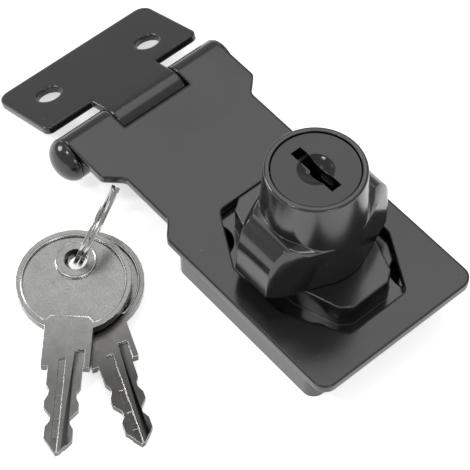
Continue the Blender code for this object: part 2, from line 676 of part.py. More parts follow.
def lock_plug():
    """The plug: a head with the keyway, wafer slots and a tail that drives the bolt."""
    edge = EASE
    groove = CROSS_PIN_RADIUS + GAP
    sphere = (DIMPLE_RADIUS ** 2 + DIMPLE_DEPTH ** 2) / (2 * DIMPLE_DEPTH)
    spread = math.asin(DIMPLE_RADIUS / sphere)
    angles = [spread * i / 4 for i in range(5)]
    profile = [(sphere * math.sin(angle), PLUG_TOP - DIMPLE_DEPTH + sphere * (1 - math.cos(angle)))
               for angle in angles]
    profile += [(PLUG_HEAD_RADIUS - edge, PLUG_TOP),
                (PLUG_HEAD_RADIUS, PLUG_TOP - edge), (PLUG_HEAD_RADIUS, PLUG_HEAD_LOW),
                (PLUG_RADIUS, PLUG_HEAD_LOW), (PLUG_RADIUS, PLUG_GROOVE_Z + groove),
                (PLUG_GROOVE_RADIUS, PLUG_GROOVE_Z + groove), (PLUG_GROOVE_RADIUS, PLUG_GROOVE_Z - groove),
                (PLUG_RADIUS, PLUG_GROOVE_Z - groove), (PLUG_RADIUS, PLUG_BOTTOM),
                (TAIL_RADIUS, PLUG_BOTTOM), (TAIL_RADIUS, TAIL_END), (0, TAIL_END)]
    plug = turned("plug_turned", profile, STEPS_LARGE)
    start = math.radians(-135)
    x, y = DRIVE_OFFSET * math.cos(start), DRIVE_OFFSET * math.sin(start)
    combine(plug, cylinder("drive_pin", DRIVE_RADIUS, (x, y, DRIVE_END), (x, y, TAIL_END + TAIL_RADIUS), 16),
            "UNION")
    cutters = [block("keyway", (-KEYWAY_HALF_LENGTH, -KEYWAY_HALF_WIDTH, PLUG_HEAD_LOW - GAP),
                     (KEYWAY_HALF_LENGTH, KEYWAY_HALF_WIDTH, PLUG_TOP + GAP))]
    cutters.append(outline_solid("blade_slot", [warded_slot()], PLUG_BOTTOM + KEYWAY_FLOOR, PLUG_HEAD_LOW))
    for index in range(WAFER_COUNT):
        z = wafer_height(index)
        tall = WAFER_THICKNESS / 2 + GAP / 2
        wide = WAFER_HALF_WIDTH + GAP
        cutters.append(block("wafer_slot_%d" % (index + 1), (-PLUG_RADIUS * 1.2, -wide, z - tall),
                             (PLUG_RADIUS * 1.2, wide, z + tall)))
    for tool in cutters:
        combine(plug, tool, "DIFFERENCE")
    hang(bpy.data.objects["plug_axis"], plug, *cutters, bpy.data.objects["drive_pin"])
    return as_part(plug, "lock_plug", DARK_CHROME)


def wafers():
    """Five sliding wafers, each with a window for the key's blade."""
    for index in range(WAFER_COUNT):
        z = wafer_height(index)
        outer = [(WAFER_HALF_LENGTH, WAFER_HALF_WIDTH), (-WAFER_HALF_LENGTH, WAFER_HALF_WIDTH)]
        window = [(WAFER_WINDOW_HALF_LENGTH, WAFER_WINDOW_HALF_WIDTH),
                  (-WAFER_WINDOW_HALF_LENGTH, WAFER_WINDOW_HALF_WIDTH)]
        loops = [mirrored_y(outer), mirrored_y(window)[::-1]]
        wafer = outline_solid("wafer", loops, z - WAFER_THICKNESS / 2, z + WAFER_THICKNESS / 2)
        hang(bpy.data.objects["plug_axis"], wafer)
        as_part(wafer, "wafer_%d" % (index + 1), BRASS)


def locking_bolt():
    """The bolt in the spindle, with a cross slot for the plug's drive pin."""
    bolt = block("bolt_bar", (-BOLT_TAIL, -BOLT_HALF_WIDTH, BOLT_LOW), (BOLT_TIP, BOLT_HALF_WIDTH, BOLT_TOP))
    round_edges(bolt, EASE, 1)
    centre = -DRIVE_OFFSET / math.sqrt(2)
    slot = DRIVE_RADIUS + GAP
    window = block("bolt_window", (centre - slot, -DRIVE_OFFSET - slot, BOLT_LOW - slot),
                   (centre + slot, centre + slot, BOLT_TOP + slot))
    combine(bolt, window, "DIFFERENCE")
    hang(bpy.data.objects["knob_axis"], bolt, window)
    return as_part(bolt, "locking_bolt", BRIGHT_STEEL)


def retaining_pins():
    """Cross pins that hold the knob in the base and the plug in the knob."""
    for side, x in (("left", -CROSS_PIN_X), ("right", CROSS_PIN_X)):
        pin = cylinder("pin", CROSS_PIN_RADIUS, (x, -CROSS_PIN_FAR_END, SPINDLE_GROOVE_Z),
                       (x, BASE_HALF_Y - GAP, SPINDLE_GROOVE_Z), STEPS_SMALL)
        round_edges(pin, EASE, 1)
        as_part(pin, "spindle_pin_" + side, BRIGHT_STEEL)
    outside = math.sqrt(knob_radius(PLUG_GROOVE_Z) ** 2 - (PLUG_PIN_X + CROSS_PIN_RADIUS) ** 2)
    pin = cylinder("pin", CROSS_PIN_RADIUS, (-PLUG_PIN_X, -PLUG_PIN_FAR_END, PLUG_GROOVE_Z),
                   (-PLUG_PIN_X, outside - GAP, PLUG_GROOVE_Z), STEPS_SMALL)
    round_edges(pin, EASE, 1)
    hang(bpy.data.objects["knob_axis"], pin)
    as_part(pin, "plug_pin", BRIGHT_STEEL)


def thrust_washer():
    """The washer between the spindle's end and the floor of the bore."""
    return as_part(washer(WASHER_TOP - WASHER_THICKNESS, WASHER_TOP), "thrust_washer", BRIGHT_STEEL)


def wave_washer():
    """The thin washer on it, bent into waves that press the knob up against its pins."""
    drawn = washer(WAVE_Z - WAVE_THICKNESS / 2, WAVE_Z + WAVE_THICKNESS / 2)
    waved = made_mesh(drawn, "wave_washer")
    for vertex in waved.data.vertices:
        vertex.co.z += WAVE_RISE * math.cos(WAVE_COUNT * math.atan2(vertex.co.y, vertex.co.x))
    return as_part(waved, "wave_washer", BRIGHT_STEEL)


def washer(low, high):
    """A flat ring under the spindle, from one level to another."""
    profile = [(WASHER_BORE_RADIUS, high), (SPINDLE_RADIUS, high), (SPINDLE_RADIUS, low),
               (WASHER_BORE_RADIUS, low)]
    return turned("washer", profile, STEPS_SMALL)


def ring_frame():
    """Directions of the ring: along the floor, up its lean, and its axis."""
    along = Vector((math.cos(RING_HEADING), math.sin(RING_HEADING), 0))
    side = Vector((along.y, -along.x, 0))
    up = side * math.sin(RING_LEAN) + Vector((0, 0, math.cos(RING_LEAN)))
    return along, up, along.cross(up).normalized()


def ring_centre():
    """Centre of the ring, high enough for its lowest edge to meet the floor."""
    height = RING_RADIUS * math.cos(RING_LEAN) + RING_WIRE_WIDTH / 2 * math.sin(RING_LEAN)
    return Vector((RING_CENTRE_X, RING_CENTRE_Y, height + EASE / 2))


def ring_point(height):
    """Where the middle of the ring's wire passes a height on its near side."""
    along, up, _ = ring_frame()
    centre = ring_centre()
    radius = RING_RADIUS - RING_WIRE_RADIAL / 2
    sine = (height - centre.z) / (radius * up.z)
    return centre - along * radius * math.sqrt(1 - sine * sine) + up * radius * sine


def key_ring():
    """The split ring: two flat turns, side by side."""
    outer, inner = RING_RADIUS, RING_RADIUS - RING_WIRE_RADIAL
    half, seam = RING_WIRE_WIDTH / 2, RING_SEAM
    edge = RING_SEAM
    profile = [(inner, half), (outer - edge, half), (outer, half - edge), (outer, seam),
               (outer - seam, 0), (outer, -seam), (outer, edge - half), (outer - edge, -half),
               (inner, -half), (inner + seam, 0)]
    ring = turned("ring", profile, STEPS_LARGE)
    ring.location = ring_centre()
    ring.rotation_euler = ring_frame()[2].to_track_quat("Z", "Y").to_euler()
    return as_part(ring, "key_ring", NICKEL)


def key(name, lift, heading, play):
    """A key with a round bow, propped up by the ring and lying on what its tip meets.

    Its own origin is the middle of the ring's hole, and its tip is towards +X.
    """
    centre = KEY_HOLE_FROM_CENTRE
    neck = centre + math.sqrt(BOW_RADIUS ** 2 - SHOULDER_HALF_WIDTH ** 2)
    shoulder = neck + SHOULDER_LENGTH
    tip = shoulder + BLADE_LENGTH
    angle = math.asin(SHOULDER_HALF_WIDTH / BOW_RADIUS)
    half = arc((centre, 0), BOW_RADIUS, math.pi, angle)[1:]
    half += [(shoulder, SHOULDER_HALF_WIDTH), (shoulder, BLADE_HALF_WIDTH)]
    half += [(shoulder + along, BLADE_HALF_WIDTH - depth) for along, depth in BITTING]
    half.append((tip, BLADE_NOSE_HALF_WIDTH))
    outline = [(centre - BOW_RADIUS, 0)] + half + [(x, -y) for x, y in reversed(half)]
    thick = KEY_THICKNESS / 2
    hole = circle((0, 0), KEY_HOLE_RADIUS, STEPS_SMALL)[::-1]
    blank = outline_solid(name + "_blank", [outline, hole], -thick, thick)
    inner = BOW_RADIUS - BOW_RIM
    bound = math.asin(SHOULDER_HALF_WIDTH / inner)
    top = centre + SHANK_TOP_REACH
    shank_top = [(top, -SHANK_TOP_HALF_WIDTH), (top, SHANK_TOP_HALF_WIDTH)]
    recess = [arc((centre, 0), inner, bound, 2 * math.pi - bound) + shank_top,
              circle((0, 0), HOLE_RIM_RADIUS, STEPS_SMALL)[::-1]]
    past = BLADE_LENGTH + GAP
    track = (-TRACK_OFFSET - TRACK_HALF_WIDTH, -TRACK_OFFSET + TRACK_HALF_WIDTH)
    pocket = (track[0] + EASE / 2, track[1] - EASE / 2)
    channels = [(REBATE_DEPTH, (REBATE_INNER, BLADE_HALF_WIDTH + GAP), (REBATE_START, past)),
                (TRACK_DEPTH, track, (TRACK_START, past))]
    channels += [(POCKET_DEPTH, pocket, span) for span in TRACK_POCKETS]
    tools = []
    for side in (-1, 1):
        low, high = sorted((side * (thick - BOW_RECESS), side * (thick + BOW_RECESS)))
        tools.append(outline_solid(name + "_recess", recess, low, high))
        for depth, across, (start, end) in channels:
            low, high = sorted((side * (thick - depth), side * (thick + depth)))
            near, far = sorted((side * across[0], side * across[1]))
            tools.append(block(name + "_channel", (shoulder + start, near, low), (shoulder + end, far, high)))
    for tool in tools:
        combine(blank, tool, "DIFFERENCE")
    height = REAR_KEY_HEIGHT + lift
    drop = math.asin((REAR_KEY_HEIGHT - thick - EASE / 2) / tip)
    place = ring_point(height) + play
    axis = pivot(name + "_place", (place.x, place.y, height), (0, drop, heading))
    hang(axis, blank, *tools, local=True)
    return as_part(blank, name, NICKEL)


def main():
    """Build every sub-part."""
    clear_scene()
    knob_axis = pivot("knob_axis", (0, 0, 0))
    plug_axis = pivot("plug_axis", (0, 0, PLUG_TOP))
    hang(knob_axis, plug_axis)
    base_housing()
    hasp_strap()
    hinge_leaf()
    hinge_pin()
    knob_body()
    lock_plug()
    wafers()
    locking_bolt()
    retaining_pins()
    thrust_washer()
    wave_washer()
    key_ring()
    key("key_rear", 0, REAR_KEY_HEADING, REAR_KEY_PLAY)
    key("key_front", KEY_THICKNESS + GAP * 2, FRONT_KEY_HEADING, FRONT_KEY_PLAY)


main()
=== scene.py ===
"""Dresses the display case lock: glossy black coats, nickel keys and soft studio light.

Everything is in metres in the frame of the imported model. The knob turns about the
Z axis, the strap lies along X, and the hinge is towards -X.
"""

import json
import logging
from dataclasses import dataclass, field, replace
from enum import Enum
from math import asin, cos, pi, radians, sin, sqrt, tan

import bmesh
import bpy
from bmesh.types import BMesh, BMVert
from bpy.types import Material, Mesh, Node, NodeSocket, NodeTree, Object
from mathutils import Matrix, Vector


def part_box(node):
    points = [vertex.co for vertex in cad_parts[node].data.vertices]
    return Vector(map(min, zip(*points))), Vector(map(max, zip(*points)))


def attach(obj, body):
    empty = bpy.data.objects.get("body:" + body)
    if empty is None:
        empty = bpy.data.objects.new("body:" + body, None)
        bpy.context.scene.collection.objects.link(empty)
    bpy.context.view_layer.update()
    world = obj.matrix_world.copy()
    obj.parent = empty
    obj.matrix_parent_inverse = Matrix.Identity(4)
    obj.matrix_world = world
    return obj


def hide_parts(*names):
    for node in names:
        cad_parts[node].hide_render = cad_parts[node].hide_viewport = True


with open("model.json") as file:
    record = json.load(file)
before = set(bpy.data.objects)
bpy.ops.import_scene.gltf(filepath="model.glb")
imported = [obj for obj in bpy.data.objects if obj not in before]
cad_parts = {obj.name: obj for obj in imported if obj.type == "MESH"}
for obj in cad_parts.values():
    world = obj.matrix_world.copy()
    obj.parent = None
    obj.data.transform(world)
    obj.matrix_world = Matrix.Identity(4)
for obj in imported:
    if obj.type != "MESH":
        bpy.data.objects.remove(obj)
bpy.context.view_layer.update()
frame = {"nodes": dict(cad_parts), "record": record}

LOG = logging.getLogger("display_case_lock")
Pair = tuple[float, float]
Point = tuple[float, float, float]
Colour = tuple[float, float, float]

# Angle above which an edge between two faces stays sharp
SMOOTH_ANGLE = radians(32)

# Number inputs of the surface group, each named after the field of Finish that feeds it
SURFACE_INPUTS = ("Grain Scale", "Cloud Scale", "Speck Scale", "Speck Size", "Speck Share",
                  "Worn Highlight Radius", "Worn Highlight Gain")
GRAIN_DETAIL = 2.0
CLOUD_DETAIL = 4.0
BEVEL_SAMPLES = 12


class Slot(Enum):
    """The record's material slots that pieces take their finish from."""

    DIE_CAST = "die_cast"
    SHEET = "coated_sheet"
    STEEL = "bright_steel"
    CHROME = "dark_chrome"
    BRASS = "brass"
    NICKEL = "nickel"


def arc(centre: Pair, radii: Pair, first: float, last: float, steps: int) -> list[Pair]:
    """Give points along an ellipse.

    Args:
        centre: The ellipse's centre.
        radii: Its half width and half height.
        first: The angle of the first point, in radians.
        last: The angle of the last point, in radians.
        steps: Steps between them.

    Returns:
        The points.
    """
    turns = [first + (last - first) * i / steps for i in range(steps + 1)]
    return [(centre[0] + radii[0] * cos(t), centre[1] + radii[1] * sin(t)) for t in turns]


@dataclass
class Nodes:
    """A short way to add and link nodes."""

    tree: NodeTree
    mix_first: int = 6
    mix_second: int = 7
    mix_result: int = 2

    def declare(self, direction: str, kind: str, *names: str) -> None:
        """Give a node group sockets of one kind.

        Args:
            direction: INPUT or OUTPUT.
            kind: What the sockets carry, such as Float.
            names: The sockets' names.
        """
        for name in names:
            self.tree.interface.new_socket(name, in_out=direction, socket_type="NodeSocket" + kind)

    def add(self, kind: str, values: dict[str | int, object] | None = None,
            **settings: object) -> Node:
        """Add a node.

        Args:
            kind: The node's type name.
            values: Socket names or numbers with their values or the sockets that feed them.
            settings: Properties of the node itself.

        Returns:
            The new node.
        """
        node = self.tree.nodes.new(kind)
        for name, value in settings.items():
            setattr(node, name, value)
        for name, value in (values or {}).items():
            if isinstance(value, NodeSocket):
                self.tree.links.new(value, node.inputs[name])
            else:
                node.inputs[name].default_value = value
        return node

    def math(self, operation: str, a: object, b: object = 0.0, clamp: bool = False) -> NodeSocket:
        """Combine two numbers or sockets.

        Args:
            operation: The Math node's operation.
            a: The first number or socket.
            b: The second number or socket.
            clamp: Whether the result stays between 0 and 1.

        Returns:
            The socket that holds the result.
        """
        return self.add("ShaderNodeMath", {0: a, 1: b}, operation=operation,
                        use_clamp=clamp).outputs[0]

    def ramp(self, value: NodeSocket, low: float, high: float, first: float = 0.0,
             last: float = 1.0, **settings: object) -> NodeSocket:
        """Spread a value between two others.

        Args:
            value: The socket to spread.
            low: The value that gives the first result.
            high: The value that gives the last result.
            first: The result at low.
            last: The result at high.
            settings: Properties of the node, such as its interpolation.

        Returns:
            The socket that holds the result.
        """
        return self.add("ShaderNodeMapRange", {"Value": value, "From Min": low, "From Max": high,
                                               "To Min": first, "To Max": last},
                        **settings).outputs[0]

    def mix(self, factor: object, first: object, second: object) -> NodeSocket:
        """Mix two colours.

        Args:
            factor: The share of the second colour, a number or a socket.
            first: A colour or the socket that holds it.
            second: A colour or the socket that holds it.

        Returns:
            The socket that holds the result.
        """
        sides = {self.mix_first: first, self.mix_second: second}
        values = {index: side if isinstance(side, NodeSocket) else (*side, 1)
                  for index, side in sides.items()}
        return self.add("ShaderNodeMix", {0: factor, **values},
                        data_type="RGBA").outputs[self.mix_result]

    def begin_geometry(self, count: str, *numbers: str) -> bpy.types.NodeOutputs:
        """Begin a Geometry Nodes group with its sockets.

        Args:
            count: The name of its input for a whole number.
            numbers: The names of its inputs for other numbers.

        Returns:
            What the group is given, by name.
        """
        self.declare("INPUT", "Geometry", "Geometry")
        self.declare("INPUT", "Float", *numbers)
        self.declare("INPUT", "Int", count)
        self.declare("INPUT", "Material", "Material")
        self.declare("OUTPUT", "Geometry", "Geometry")
        return self.add("NodeGroupInput").outputs

    def end_geometry(self, mesh: NodeSocket, material: NodeSocket) -> None:
        """End a Geometry Nodes group: smooth shading, real instances, and the material.

        Args:
            mesh: The socket with the swept mesh.
            material: The socket with its material.
        """
        smooth = self.add("GeometryNodeSetShadeSmooth", {"Geometry": mesh}).outputs[0]
        real = self.add("GeometryNodeRealizeInstances", {"Geometry": smooth}).outputs[0]
        finished = self.add("GeometryNodeSetMaterial", {"Geometry": real, "Material": material})
        self.add("NodeGroupOutput", {0: finished.outputs[0]})


def surface_group() -> NodeTree:
    """Build the group for a finish's grain, slow clouds, rare dust specks and edge wear with
    painted highlight.

    Returns:
        A shader group with Height, Cloud, Speck and Edge outputs; Edge masks the edges painted
        lighter.
    """
    group = bpy.data.node_groups.new("surface_detail", "ShaderNodeTree")
    nodes = Nodes(group)
    nodes.declare("INPUT", "Float", *SURFACE_INPUTS)
    nodes.declare("OUTPUT", "Float", "Height", "Cloud", "Speck", "Edge")
    given = nodes.add("NodeGroupInput").outputs
    place = nodes.add("ShaderNodeTexCoord").outputs["Object"]
    grain = nodes.add("ShaderNodeTexNoise", {"Vector": place, "Scale": given["Grain Scale"],
                                             "Detail": GRAIN_DETAIL}).outputs[0]
    cloud = nodes.add("ShaderNodeTexNoise", {"Vector": place, "Scale": given["Cloud Scale"],
                                             "Detail": CLOUD_DETAIL}).outputs[0]
    dots = nodes.add("ShaderNodeTexVoronoi", {"Vector": place, "Scale": given["Speck Scale"]})
    near = nodes.math("LESS_THAN", dots.outputs["Distance"], given["Speck Size"])
    red = nodes.add("ShaderNodeSeparateColor", {0: dots.outputs["Color"]}).outputs[0]
    chosen = nodes.math("LESS_THAN", red, given["Speck Share"])
    # The Edge mask: edges whose bevelled normal turns away are painted lighter, as wear and as a
    # painted highlight
    flat = nodes.add("ShaderNodeNewGeometry").outputs["Normal"]
    rounded = nodes.add("ShaderNodeBevel", {"Radius": given["Worn Highlight Radius"]},
                        samples=BEVEL_SAMPLES).outputs[0]
    turn = nodes.add("ShaderNodeVectorMath", {0: flat, 1: rounded},
                     operation="DOT_PRODUCT").outputs["Value"]
    worn_highlight = nodes.math("MULTIPLY", nodes.math("SUBTRACT", 1.0, turn), given["Worn Highlight Gain"], clamp=True)
    nodes.add("NodeGroupOutput", {"Height": grain, "Cloud": cloud, "Edge": worn_highlight,
                                  "Speck": nodes.math("MULTIPLY", near, chosen)})
    return group


@dataclass(frozen=True)
class Finish:
    """A metal's finish: a sprayed coat where metallic is 0, and bare metal where it is 1."""

    name: str
    colour: Colour
    roughness: float
    metallic: float = 0.0
    spread: float = 0.05
    specular: float = 0.5
    edge: float = 0.00025
    grain: float = 0.05
    grain_depth: float = 0.0001
    grain_scale: float = 900.0
    grain_range: Pair = (0.35, 0.65)
    cloud_scale: float = 60.0
    cloud_range: Pair = (0.3, 0.7)
    speck_colour: Colour = (0.16, 0.16, 0.165)
    speck_scale: float = 600.0
    speck_size: float = 0.07
    speck_share: float = 0.0
    mottle: float = 0.0
    # Edge colour: wear, and a painted highlight that stands in for light caught by rounded edges
    worn_highlight_colour: Colour = (0.06, 0.06, 0.062)
    worn_highlight_gain: float = 3.0
    worn_highlight_radius: float = 0.0002
    fade_colour: Colour | None = None
    fade_centre: Point = (0.0, 0.0, 0.0)
    fade_near: float = 0.016
    fade_far: float = 0.034

    def build(self, surface: NodeTree) -> Material:
        """Build the material.

        Args:
            surface: The shared group for grain, clouds, specks and edges painted lighter as wear
                and highlight.

        Returns:
            The finished material.
        """
        material = bpy.data.materials.new(self.name)
        material.use_nodes = True
        tree = material.node_tree
        nodes = Nodes(tree)
        shader = tree.nodes["Principled BSDF"]
        values = {name: getattr(self, name.lower().replace(" ", "_")) for name in SURFACE_INPUTS}
        detail = nodes.add("ShaderNodeGroup", values, node_tree=surface).outputs
        height = detail["Height"]
        low, high = [tuple(channel * share for channel in self.colour)
                     for share in (1 - self.mottle, 1 + self.mottle)]
        colour = nodes.mix(nodes.ramp(height, *self.grain_range), low, high)
        if self.fade_colour:
            place = nodes.add("ShaderNodeTexCoord").outputs["Object"]
            away = nodes.add("ShaderNodeVectorMath", {0: place, 1: self.fade_centre},
                             operation="DISTANCE").outputs["Value"]
            faded = nodes.ramp(away, self.fade_near, self.fade_far, 1.0, 0.0)
            colour = nodes.mix(faded, colour, self.fade_colour)
        colour = nodes.mix(detail["Speck"], colour, self.speck_colour)
        # Painted highlight and wear: the edges take the lighter edge colour
        colour = nodes.mix(detail["Edge"], colour, self.worn_highlight_colour)
        rough = nodes.ramp(detail["Cloud"], *self.cloud_range,
                           self.roughness - self.spread, self.roughness + self.spread)
        rounded = nodes.add("ShaderNodeBevel", {"Radius": self.edge},
                            samples=BEVEL_SAMPLES).outputs[0]
        bump = nodes.add("ShaderNodeBump", {"Height": height, "Strength": self.grain,
                                            "Distance": self.grain_depth, "Normal": rounded})
        tree.links.new(colour, shader.inputs["Base Color"])
        tree.links.new(rough, shader.inputs["Roughness"])
        tree.links.new(bump.outputs[0], shader.inputs["Normal"])
        shader.inputs["Metallic"].default_value = self.metallic
        shader.inputs["Specular IOR Level"].default_value = self.specular
        return material


@dataclass
class Finishes:
    """Every finish of the lock, built once."""

    materials: dict[Slot, Material] = field(default_factory=dict)
    own: dict[str, Material] = field(default_factory=dict)
    # The keys' edges are painted near white with a high gain: a painted highlight along the rims
    nickel: Finish = Finish("satin_nickel", (0.24, 0.238, 0.232), 0.28, metallic=1.0,
                            edge=0.00022, grain=0.16, grain_scale=3000.0, cloud_scale=300.0,
                            mottle=0.12, worn_highlight_colour=(0.85, 0.85, 0.83), worn_highlight_gain=5.0)
    surface: NodeTree = field(init=False)

    def build(self) -> None:
        """Build a material for each slot, for the ring's wire and for the keys' beads."""
        self.surface = surface_group()
        recipes = {
            Slot.DIE_CAST: Finish("black_die_cast", (0.009, 0.009, 0.010), 0.17, edge=0.0003,
                                  specular=0.8, speck_share=0.05),
            Slot.SHEET: Finish("black_coated_sheet", (0.011, 0.011, 0.012), 0.18, edge=0.0008,
                               specular=0.65, speck_share=0.08),
            Slot.CHROME: Finish("black_chrome", (0.004, 0.004, 0.0045), 0.15, edge=0.00012,
                                specular=0.6, grain=0.03, speck_share=0.10),
            Slot.STEEL: Finish("bright_steel", (0.55, 0.56, 0.58), 0.28, metallic=1.0),
            Slot.BRASS: Finish("stamped_brass", (0.60, 0.45, 0.20), 0.30, metallic=1.0),
            Slot.NICKEL: self.nickel,
        }
        for slot, recipe in recipes.items():
            self.materials[slot] = recipe.build(self.surface)
        # The ring wire's edges are painted lighter as well: a painted highlight
        self.add_own("key_ring", Finish("polished_ring_wire", (0.45, 0.45, 0.44), 0.14,
                                        metallic=1.0, edge=0.0001, grain=0.02,
                                        worn_highlight_colour=(0.6, 0.6, 0.6)))
        # The beads are a lighter nickel than the keys: polish on the raised lines, and a painted
        # highlight
        self.add_own("bead", replace(self.nickel, name="polished_bead_highlight", colour=(0.5, 0.495, 0.48),
                                     roughness=0.20, edge=0.00005, worn_highlight_gain=0.0))

    def add_own(self, name: str, recipe: Finish) -> None:
        """Build a finish that a single piece or feature wears.

        Args:
            name: The node or the feature that wears it.
            recipe: The finish.
        """
        self.own[name] = recipe.build(self.surface)

    def dress(self, piece: Object, slot: Slot) -> None:
        """Give a piece its finish, unless it already wears its own.

        Args:
            piece: The object to dress.
            slot: The slot whose finish it takes.
        """
        if any(material.name in piece.data.materials for material in self.own.values()):
            return
        piece.data.materials.clear()
        piece.data.materials.append(self.materials[slot])


@dataclass
class Workshop:
    """What every sub-assembly needs: the finishes, the record's lists of nodes, and tools."""

    finishes: Finishes
    merge_distance: float = 1e-6
    flat_angle: float = radians(0.4)
    replaced: set[str] = field(default_factory=set)
    bodies: dict[str, str] = field(init=False)
    slots: dict[str, Slot] = field(init=False)

    def __post_init__(self) -> None:
        """Read each node's body and slot from the record."""
        record = frame["record"]
        self.bodies = {node: body for body, nodes in record["behaviour"]["bodies"].items()
                       for node in nodes}
        self.slots = {part["node"]: Slot(part["material_slot"]) for part in record["subparts"]}

    def finish_rest(self) -> None:
        """Give the frame's own solids, where no piece stands for them, their slots' finishes."""
        for node, slot in self.slots.items():
            if node not in self.replaced:
                self.finishes.dress(frame["nodes"][node], slot)
                LOG.info("%s: %s on the frame's own solid", node, slot.value)

    def add_object(self, name: str, mesh: Mesh) -> Object:
        """Put a mesh into the scene.

        Args:
            name: The object's name.
            mesh: Its mesh.

        Returns:
            The new object, at the origin.
        """
        piece = bpy.data.objects.new(name, mesh)
        bpy.context.scene.collection.objects.link(piece)
        return piece

    def smooth_copy(self, node: str, angle: float = SMOOTH_ANGLE) -> Object:
        """Copy a node's solid with its faces joined, so that its curves shade smoothly.

        Args:
            node: The node's name.
            angle: The angle above which an edge stays sharp, in radians.

        Returns:
            The new object, at the origin.
        """
        mesh = frame["nodes"][node].data.copy()
        shape = bmesh.new()
        shape.from_mesh(mesh)
        bmesh.ops.remove_doubles(shape, verts=shape.verts, dist=self.merge_distance)
        bmesh.ops.dissolve_limit(shape, angle_limit=self.flat_angle, verts=shape.verts,
                                 edges=shape.edges)
        shape.to_mesh(mesh)
        shape.free()
        piece = self.add_object(node + "_dressed", mesh)
        self.shade(piece, angle)
        return piece

    def plain(self, piece: Object) -> Object:
        """Turn an object's modifiers into its own mesh.

        Args:
            piece: The object.

        Returns:
            The same object without modifiers.
        """
        bpy.context.view_layer.update()
        evaluated = piece.evaluated_get(bpy.context.evaluated_depsgraph_get())
        mesh = bpy.data.meshes.new_from_object(evaluated)
        piece.modifiers.clear()
        piece.data = mesh
        return piece

    def run_nodes(self, piece: Object, tree: NodeTree,
                  values: dict[str, object]) -> None:
        """Run a Geometry Nodes tree on a piece and keep the result as its own mesh.

        Args:
            piece: The piece.
            tree: The tree.
            values: The tree's inputs by their names.
        """
        modifier = piece.modifiers.new(tree.name, "NODES")
        modifier.node_group = tree
        for item in tree.interface.items_tree:
            if item.in_out == "INPUT" and item.name in values:
                modifier[item.identifier] = values[item.name]
        self.plain(piece)

    def cut(self, piece: Object, tool: Object) -> None:
        """Cut a piece with a tool, which is used up.

        Args:
            piece: The piece to cut.
            tool: The solid that is taken away from it.
        """
        change = piece.modifiers.new("Cut", "BOOLEAN")
        change.operation = "DIFFERENCE"
        change.solver = "EXACT"
        change.object = tool
        self.plain(piece)
        bpy.data.objects.remove(tool, do_unlink=True)

    def join(self, piece: Object, other: Object) -> None:
        """Make another object part of a piece, each with its own shading.

        Args:
            piece: The piece that stays.
            other: The object that becomes part of it.
        """
        bpy.ops.object.select_all(action="DESELECT")
        other.select_set(True)
        piece.select_set(True)
        bpy.context.view_layer.objects.active = piece
        bpy.ops.object.join()

    def new_piece(self, name: str, shape: BMesh) -> Object:
        """Make an object from a bmesh, with its faces pointing outwards.

        Args:
            name: The object's name.
            shape: The shape, which is freed.

        Returns:
            The new object, at the origin.
        """
        bmesh.ops.recalc_face_normals(shape, faces=shape.faces)
        mesh = bpy.data.meshes.new(name)
        shape.to_mesh(mesh)
        shape.free()
        return self.add_object(name, mesh)

    def skin(self, shape: BMesh, rows: list[list[BMVert]]) -> None:
        """Close a solid over rows of vertices.

        Args:
            shape: The shape that the vertices belong to.
            rows: Outlines of the solid, one after another, with as many vertices each.
        """
        for row, other in zip(rows, rows[1:]):
            for i in range(len(row)):
                j = (i + 1) % len(row)
                shape.faces.new((row[i], row[j], other[j], other[i]))
        shape.faces.new(rows[0])
        shape.faces.new(rows[-1])

    def lathe(self, name: str, profile: list[Pair], steps: int) -> Object:
        """Turn a profile about the Z axis.

        Args:
            name: The object's name.
            profile: Points of (radius, z), the first and the last on the axis.
            steps: Steps round the axis.

        Returns:
            The turned object.
        """
        shape = bmesh.new()
        turns = [2 * pi * i / steps for i in range(steps)]
        rings = [[shape.verts.new((radius * cos(turn), radius * sin(turn), z))
                  for turn in (turns if radius > 0 else turns[:1])] for radius, z in profile]
        for upper, lower in zip(rings, rings[1:]):
            for i in range(steps):
                j = (i + 1) % steps
                if len(upper) == 1:
                    shape.faces.new((upper[0], lower[i], lower[j]))
                elif len(lower) == 1:
                    shape.faces.new((upper[i], lower[0], upper[j]))
                else:
                    shape.faces.new((upper[i], lower[i], lower[j], upper[j]))
        return self.new_piece(name, shape)

    def bar(self, name: str, low: Point, high: Point) -> Object:
        """Make a square bar to cut with.

        Args:
            name: The object's name.
            low: Its lowest corner.
            high: Its highest corner.

        Returns:
            The new object.
        """
        shape = bmesh.new()
        bmesh.ops.create_cube(shape, size=1.0)
        size = [b - a for a, b in zip(low, high)]
        middle = [(a + b) / 2 for a, b in zip(low, high)]
        shape.transform(Matrix.Translation(middle) @ Matrix.Diagonal((*size, 1)))
        return self.new_piece(name, shape)

    def shade(self, piece: Object, angle: float) -> None:
        """Shade a piece smooth, with sharp edges where faces meet at more than an angle.

        Args:
            piece: The piece.
            angle: The angle, in radians.
        """
        piece.data.shade_smooth()
        piece.data.set_sharp_from_angle(angle=angle)
        weighted = piece.modifiers.new("Flat faces stay flat", "WEIGHTED_NORMAL")
        weighted.keep_sharp = True
        self.plain(piece)

    def hand_over(self, piece: Object, node: str, stands_in: bool = True) -> None:
        """Let a piece move with a node's body and take its slot's finish.

        Args:
            piece: The finished piece.
            node: The node.
            stands_in: Whether the piece stands for the node, or only adds to it.
        """
        self.finishes.dress(piece, self.slots[node])
        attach(piece, self.bodies[node])
        if stands_in:
            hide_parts(node)
            self.replaced.add(node)
        LOG.info("%s: %d faces, with %s", piece.name, len(piece.data.polygons), node)


@dataclass
class SheetAndBase:
    """The base with its boss, the strap, the leaf and their pin, which keep the frame's shape."""

    workshop: Workshop
    nodes: tuple[str, ...] = ("base_housing", "hasp_strap", "hinge_leaf", "hinge_pin")

    def build(self) -> None:
        """Build the four coated pieces."""
        for node in self.nodes:
            self.workshop.hand_over(self.workshop.smooth_copy(node), node)


